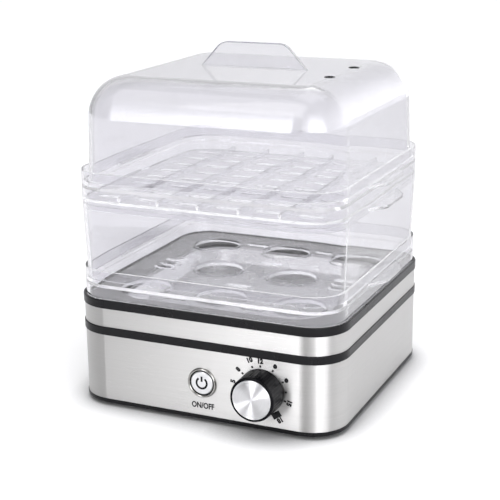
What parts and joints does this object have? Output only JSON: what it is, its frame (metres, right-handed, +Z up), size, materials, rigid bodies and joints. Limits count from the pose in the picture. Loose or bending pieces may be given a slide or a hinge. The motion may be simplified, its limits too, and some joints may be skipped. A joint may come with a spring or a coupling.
{
  "type": "egg cooker",
  "caption": "Square electric egg cooker with a brushed-steel base, a round dial and button, clear egg and steaming trays, a spacer ring and a domed lid.",
  "frame": {"origin": "middle of the bounding box's underside, on the surface that the feet stand on", "axes": "+Z up, -Y towards the control panel, +X to the user's right when facing the panel"},
  "size_m": [0.1938, 0.1944, 0.2257],
  "materials": {
    "black_plastic": "semi-gloss black moulding",
    "foot_rubber": "matt black rubber",
    "brushed_steel": "fine horizontal brushing",
    "dish_steel": "satin stainless dish",
    "grey_silicone": "matt grey silicone",
    "zinc_steel": "zinc-plated small steel parts",
    "cast_aluminium": "dull cast or pressed aluminium",
    "element_steel": "dull sheathed heating tube",
    "chrome_ring": "polished ring",
    "white_cap": "silver-white button cap",
    "inner_plastic": "dark electrical mouldings",
    "black_gloss": "semi-gloss black knob skirt",
    "spun_aluminium": "spun aluminium disc",
    "circuit_board": "green solder mask",
    "white_block": "white terminal block",
    "brass_screws": "bright brass",
    "clear_plastic": "clear moulded plastic"
  },
  "bodies": {
    "base": {"base_pan": "black_plastic", "rubber_feet": "foot_rubber", "lower_band": "brushed_steel", "mid_trim": "black_plastic", "upper_band": "brushed_steel", "top_rim": "black_plastic", "dish_seal": "grey_silicone", "heating_dish": "dish_steel", "dish_clips": "zinc_steel", "clip_screws": "zinc_steel", "heater_plate": "cast_aluminium", "heating_element": "element_steel", "heat_shield": "cast_aluminium", "shield_screws": "zinc_steel", "thermostat": "zinc_steel", "thermostat_screws": "zinc_steel", "thermal_fuse": "zinc_steel", "button_bezel": "chrome_ring", "bezel_nut": "black_plastic", "button_spring": "zinc_steel", "push_switch": "inner_plastic", "timer_control": "inner_plastic", "bush_nut": "zinc_steel", "control_board": "circuit_board", "relay": "inner_plastic", "buzzer": "inner_plastic", "capacitor": "inner_plastic", "cable_inlet": "black_plastic", "terminal_block": "white_block", "terminal_screws": "brass_screws", "base_screws": "zinc_steel"},
    "button": {"button_cap": "white_cap"},
    "dial": {"dial_skirt": "black_gloss", "dial_face": "spun_aluminium", "dial_shaft": "zinc_steel"},
    "lower_tray": {"lower_tray": "clear_plastic"},
    "spacer_ring": {"spacer_ring": "clear_plastic"},
    "upper_tray": {"upper_tray": "clear_plastic"},
    "lid": {"lid": "clear_plastic"}
  },
  "joints": [
    {"name": "button_press", "type": "slide", "parent": "base", "child": "button", "axis": [0, 1, 0], "range_m": [0, 0.002], "stiffness_N_per_m": 400, "springref_m": -0.001, "deforming": ["button_spring"]},
    {"name": "dial_turn", "type": "hinge", "parent": "base", "child": "dial", "pos_m": [0.0425, -0.0813, 0.0276], "axis": [0, 1, 0], "range_deg": [0, 225]},
    {"name": "lower_tray_lift", "type": "slide", "parent": "base", "child": "lower_tray", "axis": [0, 0, 1], "range_m": [0, 0.06]},
    {"name": "ring_lift", "type": "slide", "parent": "lower_tray", "child": "spacer_ring", "axis": [0, 0, 1], "range_m": [0, 0.06]},
    {"name": "upper_tray_lift", "type": "slide", "parent": "spacer_ring", "child": "upper_tray", "axis": [0, 0, 1], "range_m": [0, 0.06]},
    {"name": "lid_lift", "type": "slide", "parent": "upper_tray", "child": "lid", "axis": [0, 0, 1], "range_m": [0, 0.1]}
  ]
}
